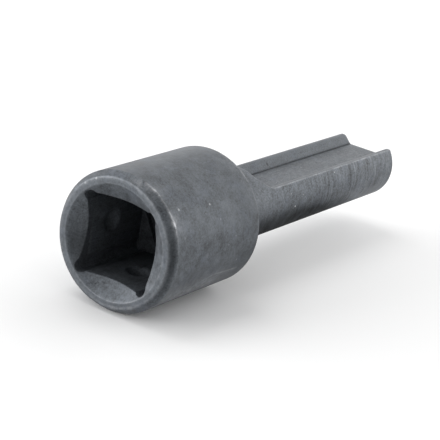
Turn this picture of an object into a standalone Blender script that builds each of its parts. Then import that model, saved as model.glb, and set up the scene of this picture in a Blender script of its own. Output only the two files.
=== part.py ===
"""Drain plug key socket: a turned drive head with a channelled key pressed into its rear.

The tool lies along X with the drive end at -X and the key's tip at +X.  The channel faces
+Z.  The origin is on the surface the head lies on, under the middle of the tool.
"""
import math

import bmesh
import bpy
from mathutils import Matrix, Vector

for old in list(bpy.data.objects):
    bpy.data.objects.remove(old, do_unlink=True)

MM = 0.001

# ---- driving dimensions, in millimetres ----
OVERALL_LEN = 75.7          # drive face to key tip
HEAD_D = 22.2               # outside of the head
HEAD_LEN = 23.3             # drive face to rear face of the head
RIM_D = 20.56               # outside of the flat rim at the drive face
NOSE_CHAMFER_LEN = 1.26     # axial length of the nose chamfer
REAR_BREAK = 0.2            # edge break at the rear of the head

DRIVE_AF = 12.75            # female square, across flats (half-inch drive)
RELIEF_R = 1.1              # round relief in each corner of the square
RELIEF_AT = 7.86            # centre of a relief, from the axis along the diagonal
DRIVE_DEPTH = 16.0          # square recess, from the drive face
SINK_D = 18.3               # mouth of the conical lead-in
SINK_HALF_ANGLE = 55.0      # degrees from the axis
DETENT_X = 8.0              # detent dimples, from the drive face
DETENT_R = 2.6              # radius of the dimple's sphere
DETENT_DEPTH = 0.9          # depth of a dimple in the wall of the square

SEAT_AF = 10.6              # hexagonal seat in the head, across flats
TAIL_AF = 10.0              # hexagonal tail of the key, across flats
SEAT_RECESS_D = 13.3        # round recess for the neck in the rear face
SEAT_RECESS_LEN = 1.0
FIT_GAP = 0.3               # clearance kept between the two pieces

SHANK_D = 12.7              # neck and key
TIP_BREAK = 0.25            # edge break at the key's tip
FLOOR_H = 2.27              # channel floor above the axis
FLOOR_W = 6.1               # width of the channel floor
WALL_SLOPE = 47.0           # degrees, inside faces of the channel walls
CREST_H = 3.66              # top of the channel walls above the axis
CREST_R = 1.1               # rounding between wall face and wall top
RUNOUT_X = 36.6             # where the floor begins to curve up towards the neck
RUNOUT_R = 4.1              # radius of that curve

HEAD_SEGMENTS = 96
SHANK_SEGMENTS = 72
RELIEF_STEPS = 10
RUNOUT_STEPS = 10
CREST_STEPS = 6

AXIS_Z = HEAD_D / 2
DRIVE_FACE_X = -OVERALL_LEN / 2


# ---- helpers ----
def finish_mesh(bm, name, smooth_angle=None):
    bmesh.ops.recalc_face_normals(bm, faces=bm.faces)
    mesh = bpy.data.meshes.new(name)
    bm.to_mesh(mesh)
    bm.free()
    if smooth_angle is not None:
        mesh.shade_smooth()
        mesh.set_sharp_from_angle(angle=math.radians(smooth_angle))
    return mesh


def place(name, mesh, parent, cutter=False):
    ob = bpy.data.objects.new(name, mesh)
    bpy.context.scene.collection.objects.link(ob)
    ob.parent = parent
    if cutter:
        ob.hide_render = True
        ob.display_type = 'WIRE'
    return ob


def ring(bm, x, r, count):
    step = 2 * math.pi / count
    return [bm.verts.new((x * MM, r * MM * math.cos(i * step), r * MM * math.sin(i * step)))
            for i in range(count)]


def bridge(bm, a, b):
    n = len(a)
    for i in range(n):
        bm.faces.new((a[i], a[(i + 1) % n], b[(i + 1) % n], b[i]))


def turned(profile, count, closed=False):
    """Solid of revolution about X. closed: the profile is a loop round a through bore."""
    bm = bmesh.new()
    rings = [ring(bm, x, r, count) for x, r in profile]
    for a, b in zip(rings, rings[1:]):
        bridge(bm, a, b)
    if closed:
        bridge(bm, rings[-1], rings[0])
    else:
        bm.faces.new(rings[0])
        bm.faces.new(rings[-1])
    return bm


def prism(outline, x0, x1):
    """Outline in Y and Z, extruded along X."""
    bm = bmesh.new()
    a = [bm.verts.new((x0 * MM, y * MM, z * MM)) for y, z in outline]
    b = [bm.verts.new((x1 * MM, y * MM, z * MM)) for y, z in outline]
    bridge(bm, a, b)
    bm.faces.new(a)
    bm.faces.new(b)
    return bm


def relieved_square(af, r, at, steps):
    """Square whose corners open into round reliefs that stand a little outside its flats."""
    q = at / math.sqrt(2)
    start = -math.acos((af / 2 - q) / r)             # where a relief leaves the flat
    sweep = math.radians(90) - 2 * start
    pts = []
    for k, (sy, sz) in enumerate(((1, 1), (-1, 1), (-1, -1), (1, -1))):
        for i in range(steps + 1):
            a = math.radians(90 * k) + start + sweep * i / steps
            pts.append((sy * q + r * math.cos(a), sz * q + r * math.sin(a)))
    return pts


def hexagon(af):
    rc = af / math.sqrt(3)
    return [(rc * math.cos(math.radians(60 * i)), rc * math.sin(math.radians(60 * i)))
            for i in range(6)]


def cut(ob, cutter, operation='DIFFERENCE'):
    mod = ob.modifiers.new(cutter.name, 'BOOLEAN')
    mod.operation = operation
    mod.solver = 'EXACT'
    mod.object = cutter


def steel(name, colour, roughness, metallic):
    mat = bpy.data.materials.new(name)
    mat.use_nodes = True
    bsdf = mat.node_tree.nodes['Principled BSDF']
    bsdf.inputs['Base Color'].default_value = (*colour, 1.0)
    bsdf.inputs['Roughness'].default_value = roughness
    bsdf.inputs['Metallic'].default_value = metallic
    return mat


# ---- tool axis: X runs from the drive face to the tip, local origin on the drive face ----
axis = bpy.data.objects.new('tool_axis', None)
bpy.context.scene.collection.objects.link(axis)
axis.location = (DRIVE_FACE_X * MM, 0.0, AXIS_Z * MM)

# ---- drive head ----
head_r = HEAD_D / 2
bore_r = TAIL_AF / 2 - 0.6                       # round hole the square and hexagon are cut from
sink_end = (SINK_D / 2 - bore_r) / math.tan(math.radians(SINK_HALF_ANGLE))
rim_flat_r = RIM_D / 2 - 0.2
head_profile = [
    (0.0, SINK_D / 2),
    (0.0, rim_flat_r),
    (0.12, RIM_D / 2),
    (NOSE_CHAMFER_LEN, head_r),
    (HEAD_LEN - REAR_BREAK, head_r),
    (HEAD_LEN, head_r - REAR_BREAK),
    (HEAD_LEN, SEAT_RECESS_D / 2),
    (HEAD_LEN - SEAT_RECESS_LEN, SEAT_RECESS_D / 2),
    (HEAD_LEN - SEAT_RECESS_LEN, bore_r),
    (sink_end, bore_r),
]
drive_head = place('drive_head', finish_mesh(turned(head_profile, HEAD_SEGMENTS, True), 'drive_head', 30), axis)

square_cut = place('square_cut', finish_mesh(
    prism(relieved_square(DRIVE_AF, RELIEF_R, RELIEF_AT, RELIEF_STEPS), -2.0, DRIVE_DEPTH), 'square_cut'),
    axis, True)
seat_cut = place('seat_cut', finish_mesh(
    prism(hexagon(SEAT_AF), DRIVE_DEPTH - 1.0, HEAD_LEN - SEAT_RECESS_LEN + 0.4), 'seat_cut'), axis, True)
cut(drive_head, square_cut)
cut(drive_head, seat_cut)

# one spherical dimple in the middle of each wall of the square
for i in range(4):
    ball = bmesh.new()
    a = math.radians(90 * i)
    reach = DRIVE_AF / 2 + DETENT_DEPTH - DETENT_R
    turn = Matrix.Rotation(a, 4, 'X')
    centre = turn @ Vector((DETENT_X * MM, reach * MM, 0.0))
    bmesh.ops.create_uvsphere(ball, u_segments=24, v_segments=12, radius=DETENT_R * MM,
                              matrix=Matrix.Translation(centre) @ turn)
    dimple = place('detent_cut_%d' % (i + 1), finish_mesh(ball, 'detent_cut_%d' % (i + 1)), axis, True)
    cut(drive_head, dimple)

drive_head.data.materials.append(steel('head_phosphated_steel', (0.155, 0.163, 0.178), 0.50, 0.85))

# ---- channel key ----
shank_r = SHANK_D / 2
neck_x = HEAD_LEN - SEAT_RECESS_LEN + FIT_GAP
key_profile = [
    (neck_x, shank_r - 0.2),
    (neck_x + 0.2, shank_r),
    (OVERALL_LEN - TIP_BREAK, shank_r),
    (OVERALL_LEN, shank_r - TIP_BREAK),
]
channel_key = place('channel_key', finish_mesh(turned(key_profile, SHANK_SEGMENTS), 'channel_key', 30), axis)

tail = place('tail_join', finish_mesh(
    prism(hexagon(TAIL_AF), DRIVE_DEPTH + FIT_GAP, neck_x + 3.0), 'tail_join'), axis, True)
cut(channel_key, tail, 'UNION')


def channel_half():
    """Right half of the cut's lower outline: floor, sloping wall, rounded crest, wall top."""
    s = math.radians(WALL_SLOPE)
    rise = CREST_H - FLOOR_H
    cx = FLOOR_W / 2 + (CREST_R + math.cos(s) * (rise - CREST_R)) / math.sin(s)
    cz = CREST_H - CREST_R
    pts = [(FLOOR_W / 2, FLOOR_H)]
    for i in range(CREST_STEPS + 1):
        a = math.radians(90) + s * (1 - i / CREST_STEPS)
        pts.append((cx + CREST_R * math.cos(a), cz + CREST_R * math.sin(a)))
    pts.append((shank_r + 2.0, CREST_H))
    return pts


half = channel_half()
outline = [(-y, z) for y, z in reversed(half)] + half
stations = [(RUNOUT_X - RUNOUT_R * math.sin(math.radians(90 * i / RUNOUT_STEPS)),
             RUNOUT_R * (1 - math.cos(math.radians(90 * i / RUNOUT_STEPS))))
            for i in range(RUNOUT_STEPS, -1, -1)] + [(OVERALL_LEN + 3.0, 0.0)]
top_z = CREST_H + RUNOUT_R + 6.0
bm = bmesh.new()
sections = []
for x, lift in stations:
    lower = [bm.verts.new((x * MM, y * MM, (z + lift) * MM)) for y, z in outline]
    upper = [bm.verts.new((x * MM, y * MM, top_z * MM)) for y in (outline[-1][0], outline[0][0])]
    sections.append(lower + upper)
for a, b in zip(sections, sections[1:]):
    bridge(bm, a, b)
bm.faces.new(sections[0])
bm.faces.new(sections[-1])
channel_cut = place('channel_cut', finish_mesh(bm, 'channel_cut'), axis, True)
cut(channel_key, channel_cut)

channel_key.data.materials.append(steel('key_phosphated_steel', (0.165, 0.172, 0.186), 0.47, 0.85))
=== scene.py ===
import math

import bpy
import numpy as np
from mathutils import Matrix, Vector


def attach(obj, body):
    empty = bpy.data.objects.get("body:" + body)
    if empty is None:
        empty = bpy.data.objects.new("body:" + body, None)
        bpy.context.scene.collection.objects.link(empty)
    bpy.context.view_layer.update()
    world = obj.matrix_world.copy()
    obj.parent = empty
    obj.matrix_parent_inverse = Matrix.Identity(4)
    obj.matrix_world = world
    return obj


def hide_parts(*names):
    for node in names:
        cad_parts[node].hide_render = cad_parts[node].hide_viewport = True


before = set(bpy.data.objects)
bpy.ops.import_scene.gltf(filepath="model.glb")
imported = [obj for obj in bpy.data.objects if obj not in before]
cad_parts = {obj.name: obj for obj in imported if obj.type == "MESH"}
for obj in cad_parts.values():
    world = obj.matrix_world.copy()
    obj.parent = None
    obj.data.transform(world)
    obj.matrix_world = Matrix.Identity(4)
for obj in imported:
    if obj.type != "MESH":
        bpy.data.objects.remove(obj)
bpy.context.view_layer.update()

MM = 0.001

# ------------------------------------------------------------------ dimensions, millimetres
OVERALL = 75.7
HEAD_R = 11.1
HEAD_LEN = 23.3
RIM_R = 10.28
NOSE_LEN = 1.26
REAR_BREAK = 0.2
SQUARE_H = 12.75 / 2
RELIEF_R, RELIEF_AT = 1.1, 7.86
DRIVE_DEPTH = 16.0
SINK_R = 9.15
SINK_HALF = math.radians(55.0)
DETENT_X, DETENT_R, DETENT_DEPTH = 8.0, 2.6, 0.9
SEAT_AF = 10.1
SEAT_R, SEAT_LEN = 6.45, 1.0
TAIL_AF = 10.0
SHANK_R = 6.35
TIP_ROUND = 0.25
FLOOR_H, FLOOR_HALF = 2.27, 3.05
WALL_SLOPE = math.radians(47.0)
CREST_H, CREST_R = 3.66, 1.1
RUNOUT_X, RUNOUT_R = 36.6, 4.1
AXIS_Z = HEAD_R
X0 = -OVERALL / 2


# ------------------------------------------------------------------ mesh helpers
def rounded_path(corners, arc=6, support=(0.05, 0.16, 0.32)):
    """Corners are (x, r, radius, pieces): each corner is rounded, and the straight run after it is cut
    into pieces.  Gives the points and, for each, how much it sits on a rounded edge, for the edge wear and painted
    highlight mark."""
    pts, wear_and_painted_light = [], []
    n = len(corners)
    ends = []
    for i, (x, r, rad, _) in enumerate(corners):
        v = np.array((x, r))
        if i in (0, n - 1) or rad == 0:
            ends.append((v, v, [v]))
            continue
        a = np.array(corners[i - 1][:2]) - v
        b = np.array(corners[i + 1][:2]) - v
        a /= np.linalg.norm(a)
        b /= np.linalg.norm(b)
        half = math.acos(max(-1.0, min(1.0, float(a @ b)))) / 2
        t = rad / math.tan(half)
        mid = (a + b) / np.linalg.norm(a + b)
        centre = v + mid * rad / math.sin(half)
        p, q = v + a * t, v + b * t
        w0, w1 = p - centre, q - centre
        sweep = math.atan2(w0[0] * w1[1] - w0[1] * w1[0], float(w0 @ w1))
        steps = []
        for k in range(arc + 1):
            c, s = math.cos(sweep * k / arc), math.sin(sweep * k / arc)
            steps.append(centre + np.array((c * w0[0] - s * w0[1], s * w0[0] + c * w0[1])))
        ends.append((p, q, steps))
    for i in range(n):
        p, q, steps = ends[i]
        for k, s in enumerate(steps):
            pts.append(s)
            wear_and_painted_light.append(math.sin(math.pi * (k + 0.5) / len(steps)) if len(steps) > 1 else 0.0)
        if i + 1 < n:
            nxt = ends[i + 1][0]
            length = float(np.linalg.norm(nxt - q))
            d = (nxt - q) / max(length, 1e-9)
            cuts = []
            near = [v for v in support if 2.2 * v < length]
            if near:
                inner = [length * k / corners[i][3] for k in range(1, corners[i][3])]
                cuts = near + [v for v in inner if near[-1] < v < length - near[-1]] + [length - v for v in near[::-1]]
            for c in cuts:
                pts.append(q + d * c)
                wear_and_painted_light.append(0.0)
    return np.array(pts), np.array(wear_and_painted_light)


def polygon_reach(af, sides, theta, off=(0.0, 0.0), turn=0.0):
    """Distance from a point off the axis to a regular polygon's sides, along each direction."""
    best = np.full(theta.shape, 1e9)
    d = np.stack((np.cos(theta), np.sin(theta)), -1)
    for k in range(sides):
        a = turn + 2 * math.pi * k / sides
        nrm = np.array((math.cos(a), math.sin(a)))
        along = d @ nrm
        gap = af / 2 - nrm @ np.array(off)
        best = np.where(along > 1e-6, np.minimum(best, gap / np.maximum(along, 1e-6)), best)
    return best


def square_reach(half, relief, at, theta):
    """Distance from the axis to a square whose corners open into round reliefs."""
    c, s = np.abs(np.cos(theta)), np.abs(np.sin(theta))
    m, k = np.maximum(c, s), np.minimum(c, s)
    flat = half / m
    q = at / math.sqrt(2)
    b = q * (m + k)
    disc = b * b - (at * at - relief * relief)
    lobe = np.where(disc > 0, b + np.sqrt(np.maximum(disc, 0)), 0)
    return np.where(flat * k > q, lobe, np.maximum(flat, lobe))


def tube_mesh(name, rows, marks, closed, caps=(False, False)):
    """rows[ring, column] are points in millimetres in the row frame. Columns always wrap; rings wrap if closed.
    marks are named values at the points, for the material."""
    rings, cols = rows.shape[:2]
    verts = rows.reshape(-1, 3) * MM
    i = np.arange(rings if closed else rings - 1)
    j = np.arange(cols)
    ii, jj = np.meshgrid(i, j, indexing='ij')
    a = ii * cols + jj
    b = ii * cols + (jj + 1) % cols
    c = ((ii + 1) % rings) * cols + (jj + 1) % cols
    d = ((ii + 1) % rings) * cols + jj
    quads = np.stack((a, b, c, d), -1).reshape(-1, 4)
    # enclosed volume decides which way round the faces go
    p, q, r, s = (verts[quads[:, k]] for k in range(4))
    volume = (np.einsum('ij,ij->i', p, np.cross(q, r)) + np.einsum('ij,ij->i', p, np.cross(r, s))).sum()
    flip = volume < 0
    faces = [tuple(f[::-1]) if flip else tuple(f) for f in quads.tolist()]
    # unrolled map: along the rings by true length, round the columns by share
    step = np.linalg.norm(np.diff(rows, axis=0), axis=2).mean(1)
    if closed:
        step = np.append(step, np.linalg.norm(rows[0] - rows[-1], axis=1).mean())
    at = np.concatenate(([0.0], np.cumsum(step)))
    at /= at[-1]
    low, high = (0.0, 1.0) if not any(caps) else (0.16, 0.84)
    at = low + at * (high - low)
    u = np.stack((at[ii], at[ii], at[ii + 1], at[ii + 1]), -1).reshape(-1, 4)
    v = np.stack((jj / cols, (jj + 1) / cols, (jj + 1) / cols, jj / cols), -1).reshape(-1, 4)
    uv = np.stack((u, v), -1)
    if flip:
        uv = uv[:, ::-1]
    uv = uv.reshape(-1, 2).tolist()
    for end, on in enumerate(caps):
        if not on:
            continue
        ring = [k + (rings - 1) * cols * end for k in range(cols)]
        if (end == 0) != flip:
            ring = ring[::-1]
        faces.append(tuple(ring))
        flat = verts[ring][:, 1:]
        span = (flat.max(0) - flat.min(0)).max()
        mid = (flat.max(0) + flat.min(0)) / 2
        here = (flat - mid) / span * 0.15 + np.array((0.08 if end == 0 else 0.92, 0.5))
        uv.extend(here.tolist())
    mesh = bpy.data.meshes.new(name)
    mesh.from_pydata(verts.tolist(), [], faces)
    layer = mesh.uv_layers.new(name='OFBake')
    layer.uv.foreach_set('vector', np.array(uv, dtype=np.float32).ravel())
    for mark, values in marks.items():
        made = mesh.attributes.new(mark, 'FLOAT', 'POINT')
        made.data.foreach_set('value', values.astype(np.float32).ravel())
    mesh.shade_smooth()
    mesh.set_sharp_from_angle(angle=math.radians(34))
    mesh.update()
    return mesh


def piece(name, mesh, node, material):
    ob = bpy.data.objects.new(name, mesh)
    bpy.context.scene.collection.objects.link(ob)
    mesh.materials.append(material)
    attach(ob, "root")
    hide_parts(node)
    return ob


# ------------------------------------------------------------------ drive head
def head_mesh():
    cols = 576
    theta = np.arange(cols) * 2 * math.pi / cols
    square = square_reach(SQUARE_H, RELIEF_R, RELIEF_AT, theta)
    seat = polygon_reach(SEAT_AF, 6, theta, turn=math.pi / 6)
    slope = np.array((math.cos(SINK_HALF), -math.sin(SINK_HALF)))
    start = np.array((0.0, SINK_R)) + slope * 0.12
    outside, wear_out = rounded_path([
        (start[0], start[1], 0, 1),
        (0.0, SINK_R, 0.30, 4),
        (0.0, RIM_R, 0.55, 4),
        (NOSE_LEN, HEAD_R, 0.40, 8),
        (HEAD_LEN - REAR_BREAK, HEAD_R, 0.12, 1),
        (HEAD_LEN, HEAD_R - REAR_BREAK, 0.12, 4),
        (HEAD_LEN, SEAT_R, 0.22, 3),
        (HEAD_LEN - SEAT_LEN, SEAT_R, 0, 1),
    ])
    xs, rs, ws = [], [], []

    def add(x, r, w=0.0):
        xs.append(np.broadcast_to(x, theta.shape))
        rs.append(np.broadcast_to(r, theta.shape))
        ws.append(np.broadcast_to(w, theta.shape))

    for (x, r), w in zip(outside, wear_out):
        add(x, r, w)
    inner = HEAD_LEN - SEAT_LEN
    for k in (0.5, 1.0):
        add(inner, SEAT_R + (seat - SEAT_R) * k)
    for k in (0.02, 0.5, 0.98):
        add(inner + (DRIVE_DEPTH - inner) * k, seat)
    for k in (0.0, 0.03, 0.5, 0.97):
        add(DRIVE_DEPTH, seat + (square - seat) * k)
    # where the cone meets the square, for each direction
    meet = (SINK_R - square) / math.tan(SINK_HALF)
    soft = 0.16
    wall_top = meet + soft
    for k in np.linspace(0.0, 1.0, 54):
        add(DRIVE_DEPTH + (wall_top - DRIVE_DEPTH) * k, square)
    for k in np.linspace(0.0, 1.0, 8)[1:]:
        p = np.stack((wall_top, square))
        c = np.stack((meet, square))
        q = np.stack((meet - slope[0] * soft, square - slope[1] * soft))
        b = (1 - k) ** 2 * p + 2 * k * (1 - k) * c + k * k * q
        add(b[0], b[1], 0.35 * math.sin(math.pi * k))
    for k in np.linspace(0.0, 1.0, 9)[1:-1]:
        add(q[0] + (start[0] - q[0]) * k, q[1] + (start[1] - q[1]) * k)
    x, r, w = np.array(xs), np.array(rs), np.array(ws)
    y, z = r * np.cos(theta), r * np.sin(theta)
    # a round dimple in the middle of each wall of the square
    dimple_depth = np.zeros(x.shape)
    inside = (x < DRIVE_DEPTH - 0.5) & (x > 2.5) & (np.abs(r - square) < 1e-6)
    for side, (ny, nz) in enumerate(((1, 0), (0, 1), (-1, 0), (0, -1))):
        on = inside & (y * ny + z * nz > SQUARE_H - 1e-4)
        across = -y * nz + z * ny
        far = (x - DETENT_X) ** 2 + across ** 2
        push = np.sqrt(np.maximum(DETENT_R ** 2 - far, 0)) - (DETENT_R - DETENT_DEPTH)
        push = np.maximum(push, 0) + np.maximum(0.2 - np.abs(push), 0) ** 2 / 0.8      # rounded at its rim
        push = np.where(on, push, 0)
        dimple_depth = np.maximum(dimple_depth, np.clip(push / 0.5, 0, 1))
        y, z = y + ny * push, z + nz * push
    rows = np.stack((x + X0, y, z + AXIS_Z), -1)
    # the shoulder of the nose is rubbed along its edge, brightest on the near side, the other edges lightly; the bright
    # spots on these edges are partly painted highlights, and the patches round the nose chamfer, the brow, the cone and
    # a band low on the near side of the barrel are painted light
    turn = np.degrees(np.arctan2(z, y))

    def about(middle, wide):
        return np.exp(-(((turn - middle + 180.0) % 360.0 - 180.0) / wide) ** 2)

    outer = r > RIM_R - 0.6
    edge = np.hypot(x - NOSE_LEN, r - HEAD_R)
    shoulder = outer * np.exp(-(edge / 0.20) ** 2)
    rubbed_and_highlit = outer * np.exp(-(np.hypot(x - NOSE_LEN - 0.07, r - HEAD_R) / 0.31) ** 2)
    nose = outer * np.clip(1 - np.abs(x - 0.66) / 0.8, 0, 1)
    band = np.clip(1.25 - np.abs(x - 0.50) / 0.62, 0, 1) * np.clip((r - RIM_R + 0.55) / 0.35, 0, 1)
    cone = np.clip((SINK_R - r) / 0.5, 0, 1) * (x < 2.8)
    rear = np.exp(-(np.hypot(x - HEAD_LEN + 0.2, r - HEAD_R + 0.05) / 0.34) ** 2)
    lip = np.exp(-(np.hypot(x, r - SINK_R) / 0.20) ** 2)
    brow = np.exp(-(np.hypot(x, r - RIM_R + 0.25) / 0.30) ** 2)
    barrel = outer * np.clip((x - NOSE_LEN) / 0.8, 0, 1) * (r > HEAD_R - 0.02)
    # edge wear with painted highlights on the shoulder, rear edge and lips; painted light on the nose chamfer, brow,
    # cone and low on the near side of the barrel
    w = (shoulder * (0.12 + 0.16 * about(128, 32)) + 0.85 * rubbed_and_highlit * about(118, 6) + 1.15 * rubbed_and_highlit * about(146, 8)
         + (0.14 + 0.30 * about(114, 28)) * rear + (0.07 + 0.10 * about(260, 22) + 0.08 * about(182, 40)) * lip
         + (0.12 + 0.24 * about(258, 18)) * brow
         + nose * (0.14 * about(56, 28) + 0.40 * about(105, 8) + 0.10 * about(121, 9) + 0.14 * about(252, 14))
         + cone * (0.045 * about(178, 40) + 0.075 * about(158, 14) + 0.085 * about(210, 9))
         + 0.38 * barrel * about(217, 11) * np.clip((20 - x) / 6, 0, 1))
    # darker deeper inside the drive and in the dimples
    deep = np.clip((x - 2.0) / 2.6, 0, 1) * (r < square + 1.0) * (x < DRIVE_DEPTH + 6.0)
    grime_and_painted_shade = np.maximum(deep * deep * (3 - 2 * deep) * 0.15, 0.20 * dimple_depth)
    # painted shade: darker patches on the near side of the nose chamfer, on the far side and the bottom of the lead-in
    # cone, and on the near side of the barrel towards its rear, deepest low down
    grime_and_painted_shade = np.maximum(grime_and_painted_shade, np.maximum(0.70 * band * about(178, 30), np.maximum(0.61 * cone * about(-24, 34), 0.12 * cone * about(262, 22))))
    grime_and_painted_shade = np.maximum(grime_and_painted_shade, barrel * np.maximum(0.15 * about(165, 36), 0.32 * about(196, 17)) * np.clip((x - 15.5) / 6, 0, 1))
    seam = (x > HEAD_LEN - SEAT_LEN - 0.1) & (r < SEAT_R + 0.02)
    grime_and_painted_shade = np.where(seam, 0.8, grime_and_painted_shade)
    milled = ((np.abs(r - square) < 0.95) & (x > 1.0) & (x < DRIVE_DEPTH + 0.01)).astype(float)
    faced = np.maximum(cone, 0.5 * (x < 0.05))
    calm = 0.35 * ((x < 0.08) & (r > SINK_R))
    marks = {'edge_wear_and_painted_light': w, 'grime_and_painted_shade': grime_and_painted_shade, 'milled': milled, 'faced': faced, 'calm': calm}
    return tube_mesh('drive_head_body', rows, marks, closed=True)


# ------------------------------------------------------------------ channel key
CENTRE = -3.5          # sections are read as distances from this point under the axis


def channel_line(n):
    """Height of the channel cut above the axis, n from the middle plane."""
    n = np.abs(n)
    cx = FLOOR_HALF + (CREST_R + math.cos(WALL_SLOPE) * (CREST_H - FLOOR_H - CREST_R)) / math.sin(WALL_SLOPE)
    cz = CREST_H - CREST_R
    side = FLOOR_H + (n - FLOOR_HALF) * math.tan(WALL_SLOPE)
    crest = cz + np.sqrt(np.maximum(CREST_R ** 2 - np.minimum(n - cx, 0) ** 2, 0))
    join = cx - CREST_R * math.sin(WALL_SLOPE)
    wall = np.where(n < join, side, crest)
    # a small fillet at the foot of the wall
    k = 0.16
    gap = np.abs(wall - FLOOR_H)
    return np.maximum(wall, FLOOR_H) + np.maximum(k - gap, 0) ** 2 / (4 * k)


def reach_circle(phi, r=SHANK_R):
    c = -CENTRE
    return c * np.sin(phi) + np.sqrt(r * r - (c * np.cos(phi)) ** 2)


def reach_cut(phi, lift):
    phi, lift = np.broadcast_arrays(phi, lift)
    lo, hi = np.zeros(phi.shape), np.full(phi.shape, 40.0)
    for _ in range(46):
        mid = (lo + hi) / 2
        above = CENTRE + mid * np.sin(phi) > channel_line(mid * np.cos(phi)) + lift
        hi = np.where(above, mid, hi)
        lo = np.where(above, lo, mid)
    out = (lo + hi) / 2
    return np.where(np.sin(phi) > 0.05, out, 40.0)


def soft_min(a, b, k):
    k = np.maximum(k, 1e-4)
    return np.minimum(a, b) - np.maximum(k - np.abs(a - b), 0) ** 2 / (4 * k)


def key_mesh():
    # directions, closer together over the channel walls
    ask = np.linspace(-90, 270, 7201)
    fold = np.abs(((ask + 90) % 360) - 180)            # 0 straight up, 180 straight down
    density = 1.0 + 7.0 * ((fold > 24.5) & (fold < 38.0)) + 0.6 * (fold < 24.5)
    total = np.concatenate(([0.0], np.cumsum((density[1:] + density[:-1]) / 2)))
    cols = 470
    phi = np.radians(np.interp(np.arange(cols) / cols * total[-1], total, ask))
    up = np.sin(phi)
    circle = reach_circle(phi)
    full = reach_cut(phi, 0.0)
    cut = full < circle
    # where the cut's end curve comes out through the round neck
    lo, hi = np.zeros(cols), np.full(cols, math.pi / 2)
    for _ in range(40):
        mid = (lo + hi) / 2
        under = reach_cut(phi, RUNOUT_R * (1 - np.cos(mid))) < circle
        lo = np.where(under, mid, lo)
        hi = np.where(under, hi, mid)
    rim = np.where(cut, (lo + hi) / 2, 0.0)
    s = np.clip((rim - math.radians(12)) / math.radians(20), 0, 1)
    s = s * s * (3 - 2 * s)
    least = math.radians(16)
    begin = np.maximum(rim, least)
    edge_k = 0.20 * (1 - s) + 1e-4
    soft = 0.05 + 0.09 * s

    rows, key_wear_and_painted_light = [], []

    def add(x, reach, wear_and_painted_light=0.0):
        x = np.broadcast_to(x, phi.shape)
        reach = np.broadcast_to(reach, phi.shape)
        rows.append(np.stack((x + X0, reach * np.cos(phi), CENTRE + reach * np.sin(phi) + AXIS_Z), -1))
        key_wear_and_painted_light.append(np.broadcast_to(wear_and_painted_light, phi.shape))

    tail = polygon_reach(TAIL_AF, 6, phi, off=(0.0, CENTRE), turn=math.pi / 6)
    tail_in = polygon_reach(TAIL_AF - 0.8, 6, phi, off=(0.0, CENTRE), turn=math.pi / 6)
    tail_x = DRIVE_DEPTH + 0.3
    shoulder = HEAD_LEN - SEAT_LEN + 0.3
    add(tail_x, tail_in)
    add(tail_x + 0.4, tail)
    add(tail_x + 0.45, tail)
    add(shoulder - 0.05, tail)
    add(shoulder, tail)
    add(shoulder, reach_circle(phi, SHANK_R - 0.25))
    add(shoulder, reach_circle(phi, SHANK_R - 0.2))
    for k in np.linspace(0, 1, 5)[1:]:
        add(shoulder + 0.2 * (1 - math.cos(k * math.pi / 2)), reach_circle(phi, SHANK_R - 0.2 + 0.2 * math.sin(k * math.pi / 2)), 0.3)
    neck = shoulder + 0.2

    def ramp(angle):
        x = RUNOUT_X - RUNOUT_R * np.sin(angle)
        reach = soft_min(circle, reach_cut(phi, RUNOUT_R * (1 - np.cos(angle))), edge_k)
        return x, reach

    # neck, up to the rim of the cut
    corner_x = RUNOUT_X - RUNOUT_R * np.sin(begin)
    corner_r = ramp(begin)[1]
    corner_r = np.where(s > 0, circle * s + corner_r * (1 - s), corner_r)
    for k in np.linspace(0, 1, 26)[1:]:
        x = neck + (corner_x - soft - neck) * k
        # the rounding of the wall tops fades in along the columns beside the cut
        lift = RUNOUT_R * (1 - np.sqrt(np.maximum(1 - ((RUNOUT_X - np.minimum(x, RUNOUT_X)) / RUNOUT_R) ** 2, 0)))
        lift = np.where(x < RUNOUT_X - RUNOUT_R, 30.0, lift)
        reach = np.where(s > 0.5, circle, soft_min(circle, reach_cut(phi, lift), edge_k))
        add(x, reach)
    # rounded rim, with edge wear and a painted highlight along it
    turn = soft / RUNOUT_R
    after = np.maximum(begin - turn, begin * 0.3)
    p = np.stack((corner_x - soft, np.where(s > 0.5, circle, rows[-1][..., 0] * 0 + corner_r)))
    c = np.stack((corner_x, corner_r))
    q = np.stack(ramp(after))
    for k in np.linspace(0, 1, 9)[1:]:
        b = (1 - k) ** 2 * p + 2 * k * (1 - k) * c + k * k * q
        add(b[0], b[1], np.where(np.cos(phi) < -0.35, 0.45, 0.9) * s * math.sin(math.pi * k))
    # end curve down to the floor
    # edge wear and a painted highlight along the top edges of the channel walls
    beside = np.exp(-((full - circle) / 0.16) ** 2)
    rub = np.where(np.cos(phi) < 0, 0.42, 0.55)
    for k in np.linspace(0, 1, 30)[1:]:
        x, reach = ramp(after * (1 - k))
        add(x, reach, beside * k * rub)
    straight = soft_min(circle, full, edge_k)
    for k in np.linspace(0, 1, 62)[1:]:
        add(RUNOUT_X + (OVERALL - TIP_ROUND - RUNOUT_X) * k, straight, beside * rub)
    # rounded edge of the tip: the section drawn in along its own outline
    base = np.stack((straight * np.cos(phi), CENTRE + straight * np.sin(phi)), -1)
    along = np.roll(base, -1, 0) - np.roll(base, 1, 0)
    inward = np.stack((-along[:, 1], along[:, 0]), -1)
    inward /= np.linalg.norm(inward, axis=1)[:, None]
    for _ in range(3):
        inward = (np.roll(inward, 1, 0) + 2 * inward + np.roll(inward, -1, 0)) / 4
        inward /= np.linalg.norm(inward, axis=1)[:, None]
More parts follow.
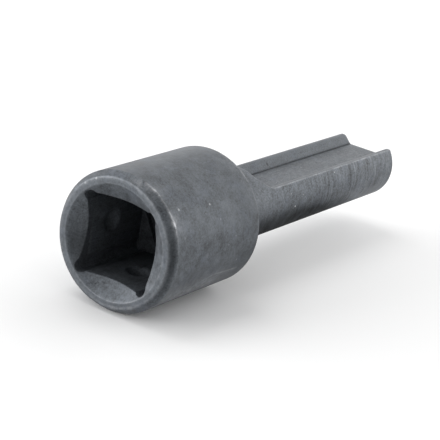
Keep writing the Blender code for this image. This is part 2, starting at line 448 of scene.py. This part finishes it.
    # edge wear and a painted highlight round the tip's edge, stronger higher up
    for k in np.linspace(0, 1, 8)[1:]:
        a = k * math.pi / 2
        sec = base + inward * TIP_ROUND * (1 - math.cos(a))
        x = np.full(cols, OVERALL - TIP_ROUND + TIP_ROUND * math.sin(a))
        rows.append(np.stack((x + X0, sec[:, 0], sec[:, 1] + AXIS_Z), -1))
        key_wear_and_painted_light.append((0.14 + 0.26 * np.clip(1 + sec[:, 1] / 3.0, 0, 1)) * math.sin(math.pi * k))
    rows, key_wear_and_painted_light = np.array(rows), np.array(key_wear_and_painted_light)
    x = rows[..., 0] - X0
    r = np.hypot(rows[..., 1], rows[..., 2] - AXIS_Z)
    grime_and_painted_shade = np.clip((HEAD_LEN + 0.15 - x) / 0.3, 0, 1) * 0.8
    rise = rows[..., 2] - AXIS_Z
    # painted shade: darker along the foot of the channel walls
    corner = np.hypot(np.abs(rows[..., 1]) - FLOOR_HALF, rise - FLOOR_H)
    grime_and_painted_shade = np.maximum(grime_and_painted_shade, 0.72 * np.exp(-(corner / 0.19) ** 2) * np.clip((x - RUNOUT_X + 1.5) / 2.0, 0, 1))
    # painted shade low on the near side of the key near the head, fading towards the tip
    under = np.clip((1.0 - rise) / 3.2, 0, 1) * np.clip((59.5 - 2.4 * rise - x) / 17.0, 0, 1)
    under = under * np.clip((1.5 - rows[..., 1]) / 3.0, 0, 1)
    grime_and_painted_shade = np.maximum(grime_and_painted_shade, (0.90 + 0.20 * np.clip(-(rise + 1.4) / 1.8, 0, 1)) * under * under * (3 - 2 * under))
    milled = ((r < SHANK_R - 0.12) & (x > HEAD_LEN) & (x < OVERALL - 0.3)).astype(float)
    # painted light: the coating is painted paler where the cut leaves the neck and towards the tip
    painted_paleness = 1.5 * np.exp(-((x - 32.2) / 2.2) ** 2) * np.clip((rise + 2.0) / 2.0, 0, 1) + 2.0 * np.clip((x - 58.0) / 10.0, 0, 1)
    key_wear_and_painted_light = key_wear_and_painted_light + 0.028 * painted_paleness * (1 - milled)
    # painted shade: a little darker on the cut floor just past the neck
    grime_and_painted_shade = np.maximum(grime_and_painted_shade, 0.14 * milled * np.exp(-((x - 33.5) / 2.2) ** 2))
    calm = np.where((np.abs(rows[..., 1]) > FLOOR_HALF + 0.1) & (milled > 0), 0.40, 0.18 * np.clip((33.0 - x) / 3.0, 0, 1))
    marks = {'edge_wear_and_painted_light': key_wear_and_painted_light, 'grime_and_painted_shade': grime_and_painted_shade, 'milled': milled, 'faced': np.zeros(grime_and_painted_shade.shape), 'calm': calm}
    return tube_mesh('channel_key_body', rows, marks, closed=False, caps=(True, True))


# ------------------------------------------------------------------ materials
class Nodes:
    """A short way to write a material's nodes."""

    def __init__(self, name):
        self.mat = bpy.data.materials.new(name)
        self.mat.use_nodes = True
        self.tree = self.mat.node_tree
        self.tree.nodes.clear()

    def node(self, kind, **props):
        n = self.tree.nodes.new(kind)
        for k, v in props.items():
            setattr(n, k, v)
        return n

    def put(self, socket, value):
        if isinstance(value, bpy.types.NodeSocket):
            self.tree.links.new(value, socket)
        else:
            socket.default_value = value

    def math(self, op, a, b=0.0, c=0.0, clamp=False):
        n = self.node('ShaderNodeMath', operation=op, use_clamp=clamp)
        for i, v in enumerate((a, b, c)):
            self.put(n.inputs[i], v)
        return n.outputs[0]

    def add(self, *terms):
        total = terms[0]
        for t in terms[1:]:
            total = self.math('ADD', total, t)
        return total

    def vec(self, op, a, b=(0.0, 0.0, 0.0), scale=None):
        n = self.node('ShaderNodeVectorMath', operation=op)
        self.put(n.inputs[0], a)
        if op not in ('SCALE', 'LENGTH'):
            self.put(n.inputs[1], b)
        if scale is not None:
            self.put(n.inputs['Scale'], scale)
        return n.outputs['Value'] if op in ('LENGTH', 'DISTANCE', 'DOT_PRODUCT') else n.outputs['Vector']

    def noise(self, at, scale, detail=2.0, rough=0.5, warp=0.0, w=None):
        n = self.node('ShaderNodeTexNoise', noise_dimensions='3D' if w is None else '4D')
        self.put(n.inputs['Vector'], at)
        if w is not None:
            self.put(n.inputs['W'], w)
        n.inputs['Scale'].default_value = scale
        n.inputs['Detail'].default_value = detail
        n.inputs['Roughness'].default_value = rough
        n.inputs['Distortion'].default_value = warp
        return n.outputs[0]

    def span(self, value, a, b, c, d, smooth=False):
        n = self.node('ShaderNodeMapRange', interpolation_type='SMOOTHSTEP' if smooth else 'LINEAR')
        self.put(n.inputs['Value'], value)
        for k, v in zip(('From Min', 'From Max', 'To Min', 'To Max'), (a, b, c, d)):
            n.inputs[k].default_value = v
        return n.outputs[0]

    def blend(self, factor, a, b):
        n = self.node('ShaderNodeMix', data_type='RGBA', blend_type='MIX')
        self.put(n.inputs['Factor'], factor)
        self.put(n.inputs[6], a)
        self.put(n.inputs[7], b)
        return n.outputs[2]

    def attribute(self, name):
        return self.node('ShaderNodeAttribute', attribute_name=name).outputs['Fac']


def phosphated_steel(name, colour, rough, grit, round_marks, long_marks, specks, nicks, scratches, seed):
    """Dark phosphate coating on steel: cloudy tone, fine crystal grain, tool marks, pale specks, rubbed edges with
    painted highlights, and painted light and painted shade carried by the mesh's marks.
    """
    g = Nodes(name)
    out = g.node('ShaderNodeOutputMaterial')
    bsdf = g.node('ShaderNodeBsdfPrincipled')
    g.put(out.inputs['Surface'], bsdf.outputs[0])
    where = g.node('ShaderNodeTexCoord').outputs['Object']
    mm = g.vec('MULTIPLY', where, (1000.0, 1000.0, 1000.0))
    at = g.vec('ADD', mm, (seed * 13.7, seed * 5.1, seed * 9.3))
    flat = g.vec('MULTIPLY', g.vec('SUBTRACT', mm, (0.0, 0.0, AXIS_Z)), (0.0, 1.0, 1.0))
    radius = g.vec('LENGTH', flat)

    # coating: slow clouds, patches of a millimetre or so, crystal grain
    cloud = g.noise(at, 0.17, 4.0, 0.58, 0.5)
    mottle = g.noise(at, 0.95, 3.0, 0.65, 0.3)
    blotch = g.noise(at, 0.42, 2.0, 0.55, 0.4)
    grain = g.noise(at, 3.3, 2.0, 0.65)
    fine = g.noise(at, 8.0, 1.0, 0.5)
    # tool marks round the axis (quick change along X or out from the axis) and along it (broached, milled faces)
    turned = g.noise(g.vec('MULTIPLY', at, (1.6, 0.16, 0.16)), 1.0, 2.0, 0.55, 0.0, g.math('MULTIPLY', radius, 1.6))
    cut = g.noise(g.vec('MULTIPLY', at, (0.10, 2.6, 2.6)), 1.0, 3.0, 0.6)
    milled = g.attribute('milled')
    along = g.math('MULTIPLY', milled, g.span(cut, 0.3, 0.7, -long_marks, long_marks))
    bands = g.noise(at, 0.09, 1.0, 0.5)
    strength = g.math('MULTIPLY', g.math('SUBTRACT', 1.0, milled), g.span(bands, 0.35, 0.62, 0.45, 1.25))
    ahead = g.node('ShaderNodeSeparateXYZ')
    g.put(ahead.inputs[0], mm)
    strength = g.math('MULTIPLY', strength, g.span(ahead.outputs['X'], -10.0, 26.0, 0.55, 1.35, True))
    strength = g.math('MULTIPLY', strength, g.span(g.attribute('faced'), 0.0, 1.0, 1.0, 5.0))
    around = g.math('MULTIPLY', strength, g.span(turned, 0.3, 0.7, -round_marks, round_marks))
    patches = g.add(g.span(blotch, 0.3, 0.7, -0.18, 0.18), g.span(mottle, 0.3, 0.7, -0.30, 0.30))
    patches = g.math('MULTIPLY', patches, g.span(milled, 0.0, 1.0, 1.0, 0.7))
    crystals = g.math('MULTIPLY', g.span(grain, 0.3, 0.7, -grit, grit), g.span(milled, 0.0, 1.0, 1.0, 1.1))
    tone = g.add(g.span(cloud, 0.3, 0.7, -0.10, 0.10), patches, crystals, around, along, g.span(milled, 0.0, 1.0, 0.0, -0.07))
    tone = g.math('MULTIPLY', tone, g.math('SUBTRACT', 1.0, g.attribute('calm')))
    value = g.math('ADD', tone, 1.0)

    # pale specks, scattered, with a few larger ones in known places
    cells = g.node('ShaderNodeTexVoronoi', feature='F1', distance='EUCLIDEAN')
    g.put(cells.inputs['Vector'], at)
    cells.inputs['Scale'].default_value = 0.55
    pick = g.node('ShaderNodeSeparateColor')
    g.put(pick.inputs[0], cells.outputs['Color'])
    chosen = g.math('GREATER_THAN', pick.outputs[0], 0.72)
    size = g.math('MULTIPLY', pick.outputs[1], 0.085)
    dot = g.math('MULTIPLY', g.math('LESS_THAN', cells.outputs['Distance'], size), chosen)
    dot = g.math('MULTIPLY', dot, 0.22)
    for (x, y, z, r, much) in specks:
        d = g.vec('DISTANCE', mm, (x, y, z))
        dot = g.math('MAXIMUM', dot, g.span(d, r * 0.5, r, much, 0.0, True))
    # short rubbed lines: centre, direction, half length, half width, strength
    for (x, y, z), (dx, dy, dz), half, wide, much in scratches:
        rel = g.vec('SUBTRACT', mm, (x, y, z))
        go = g.vec('DOT_PRODUCT', rel, (dx, dy, dz))
        off = g.vec('LENGTH', g.vec('SUBTRACT', rel, g.vec('SCALE', (dx, dy, dz), scale=go)))
        on = g.math('MULTIPLY', g.span(off, wide * 0.4, wide, much, 0.0, True),
                    g.span(g.math('ABSOLUTE', go), half * 0.5, half, 1.0, 0.0, True))
        dot = g.math('MAXIMUM', dot, g.math('MULTIPLY', on, g.span(mottle, 0.35, 0.6, 0.5, 1.0)))

    # edges rubbed through to brighter metal, with painted highlights and painted light in the same mark, broken up
    # along their length
    patchy = g.span(g.noise(at, 1.1, 3.0, 0.7), 0.36, 0.66, 0.15, 1.0)
    wear_and_painted_light = g.math('MULTIPLY', g.attribute('edge_wear_and_painted_light'), patchy, clamp=True)
    base = g.vec('SCALE', colour, scale=value)
    # the odd patch of the coating is a touch bluer
    blue = g.span(g.noise(at, 0.33, 2.0, 0.5), 0.50, 0.68, 0.0, 0.35, True)
    base = g.blend(blue, base, g.vec('MULTIPLY', base, (0.94, 0.97, 1.06)))
    # dark, dull oily grime in the seams; darker deeper inside the drive and in its dimples; painted shade in the
    # patches low on the key near the head, along the channel wall foot, past the neck, and round the head's nose, cone
    # and barrel
    grime_and_painted_shade = g.math('MULTIPLY', g.attribute('grime_and_painted_shade'), g.span(blotch, 0.3, 0.7, 0.80, 1.20))
    base = g.vec('SCALE', base, scale=g.math('SUBTRACT', 1.0, g.math('MULTIPLY', grime_and_painted_shade, 0.72)))
    base = g.blend(wear_and_painted_light, base, (0.47, 0.48, 0.50, 1.0))
    base = g.blend(dot, base, (0.66, 0.67, 0.69, 1.0))
    for (x, y, z, r) in nicks:
        d = g.vec('DISTANCE', mm, (x, y, z))
        base = g.blend(g.span(d, r * 0.4, r, 0.85, 0.0, True), base, (0.030, 0.032, 0.035, 1.0))
    g.put(bsdf.inputs['Base Color'], base)
    bsdf.inputs['Metallic'].default_value = METAL
    spread = g.add(g.span(mottle, 0.3, 0.7, -0.05, 0.05), g.span(grain, 0.3, 0.7, -0.06, 0.06),
                   g.math('MULTIPLY', wear_and_painted_light, -0.10), g.math('MULTIPLY', grime_and_painted_shade, 0.40))
    g.put(bsdf.inputs['Roughness'], g.math('ADD', spread, rough, clamp=True))
    height = g.add(g.math('MULTIPLY', grain, 0.8), g.math('MULTIPLY', fine, 0.35), g.math('MULTIPLY', mottle, 0.6),
                   g.math('MULTIPLY', around, 5.0), g.math('MULTIPLY', along, 5.0))
    bump = g.node('ShaderNodeBump')
    bump.inputs['Strength'].default_value = 0.30
    bump.inputs['Distance'].default_value = 0.00006
    g.put(bump.inputs['Height'], height)
    g.put(bsdf.inputs['Normal'], bump.outputs[0])
    return g.mat


METAL = 0.60
STEEL = (0.0833, 0.0923, 0.1034)
ROUGH = 0.55
head_steel = phosphated_steel(
    'head_steel', STEEL, ROUGH, 0.34, 0.05, 0.12,
    specks=[(-34.22, -8.23, 18.55, 0.28, 0.30), (-26.61, -8.66, 18.04, 0.24, 0.32), (-25.06, -10.07, 15.77, 0.24, 0.12),
            (-28.83, -11.10, 11.0, 0.55, 0.05), (-34.68, -10.44, 14.88, 0.30, 0.06),
            (-37.85, 4.74, 19.99, 0.24, 0.24), (-37.85, 6.62, 18.67, 0.28, 0.12)],
    nicks=[],
    scratches=[((-25.75, -10.01, 6.32), (0.977, -0.093, 0.191), 1.7, 0.26, 0.13),
               ((-21.2, -10.0, 6.29), (0.9967, 0.0346, -0.0734), 4.3, 0.28, 0.15)],
    seed=1)
key_steel = phosphated_steel(
    'key_steel', tuple(1.09 * c for c in STEEL), ROUGH, 0.52, 0.22, 0.10,
    specks=[(4.09, -6.34, 10.79, 0.20, 0.62), (17.13, -5.53, 14.21, 0.18, 0.40), (2.6, -6.0, 13.2, 0.15, 0.30),
            (6.4, -6.2, 12.4, 0.15, 0.30)],
    nicks=[(9.83, 3.69, 14.06, 0.42)],
    scratches=[],
    seed=2)

head = piece('drive_head_body', head_mesh(), 'drive_head', head_steel)
key = piece('channel_key_body', key_mesh(), 'channel_key', key_steel)

# ------------------------------------------------------------------ floor
floor_mesh = bpy.data.meshes.new('floor')
span = 3.0
floor_mesh.from_pydata([(-span, -span, 0), (span, -span, 0), (span, span, 0), (-span, span, 0)], [], [(0, 1, 2, 3)])
floor = bpy.data.objects.new('floor', floor_mesh)
bpy.context.scene.collection.objects.link(floor)
paper = bpy.data.materials.new('pale_paper')
paper.use_nodes = True
paper.node_tree.nodes['Principled BSDF'].inputs['Base Color'].default_value = (0.86, 0.86, 0.86, 1.0)
paper.node_tree.nodes['Principled BSDF'].inputs['Roughness'].default_value = 0.9
paper.node_tree.nodes['Principled BSDF'].inputs['Specular IOR Level'].default_value = 0.1
floor_mesh.materials.append(paper)

# ------------------------------------------------------------------ studio light
TARGET = Vector((0.0, 0.0, 0.010))


def softbox(name, azimuth, elevation, width, height, power, distance=0.80):
    az, el = math.radians(azimuth), math.radians(elevation)
    away = Vector((math.cos(az) * math.cos(el), math.sin(az) * math.cos(el), math.sin(el)))
    data = bpy.data.lights.new(name, 'AREA')
    data.shape = 'RECTANGLE'
    data.size = width
    data.size_y = height
    data.energy = power
    ob = bpy.data.objects.new(name, data)
    bpy.context.scene.collection.objects.link(ob)
    ob.location = TARGET + away * distance
    ob.rotation_euler = (-away).to_track_quat('-Z', 'Y').to_euler()
    ob.visible_camera = False
    return ob


# broad panels at the sides and behind, over an even pale surround: azimuth, elevation, width, height, watts
PANELS = {
    'light_left_low': (150, 12, 0.42, 0.34, 3.59),
    'light_far_left_low': (120, 12, 0.42, 0.34, 2.86),
    'light_back_low': (30, 12, 0.42, 0.34, 0.79),
    'light_back_right_low': (0, 12, 0.42, 0.34, 1.20),
    'light_right_low': (330, 12, 0.42, 0.34, 1.17),
    'light_near_right_low': (300, 12, 0.42, 0.34, 0.59),
    'light_far_mid': (90, 38, 0.50, 0.42, 0.48),
    'light_back_mid': (45, 38, 0.50, 0.42, 0.18),
    'light_back_right_mid': (0, 38, 0.50, 0.42, 0.77),
    'light_right_mid': (315, 38, 0.50, 0.42, 0.61),
    'light_far_top': (90, 66, 0.50, 0.40, 1.54),
}
for name, panel in PANELS.items():
    softbox(name, *panel)

world = bpy.data.worlds.new('studio')
bpy.context.scene.world = world
world.use_nodes = True
world.node_tree.nodes['Background'].inputs['Color'].default_value = (1.0, 1.0, 1.0, 1.0)
world.node_tree.nodes['Background'].inputs['Strength'].default_value = 0.60

# ------------------------------------------------------------------ camera, at the photograph's angle
right = Vector((0.558802, -0.814004, 0.158549))
up = Vector((0.193400, 0.313826, 0.929575))
back = Vector((-0.806435, -0.488785, 0.332795))
cam_data = bpy.data.cameras.new('camera')
cam_data.sensor_width = 36.0
cam_data.lens = 140.411
cam_data.clip_start = 0.02
camera = bpy.data.objects.new('camera', cam_data)
bpy.context.scene.collection.objects.link(camera)
camera.matrix_world = Matrix((
    (right.x, up.x, back.x, -0.2347467),
    (right.y, up.y, back.y, -0.1370566),
    (right.z, up.z, back.z, 0.1021417),
    (0, 0, 0, 1)))
bpy.context.scene.camera = camera
bpy.context.scene.view_settings.view_transform = 'Standard'
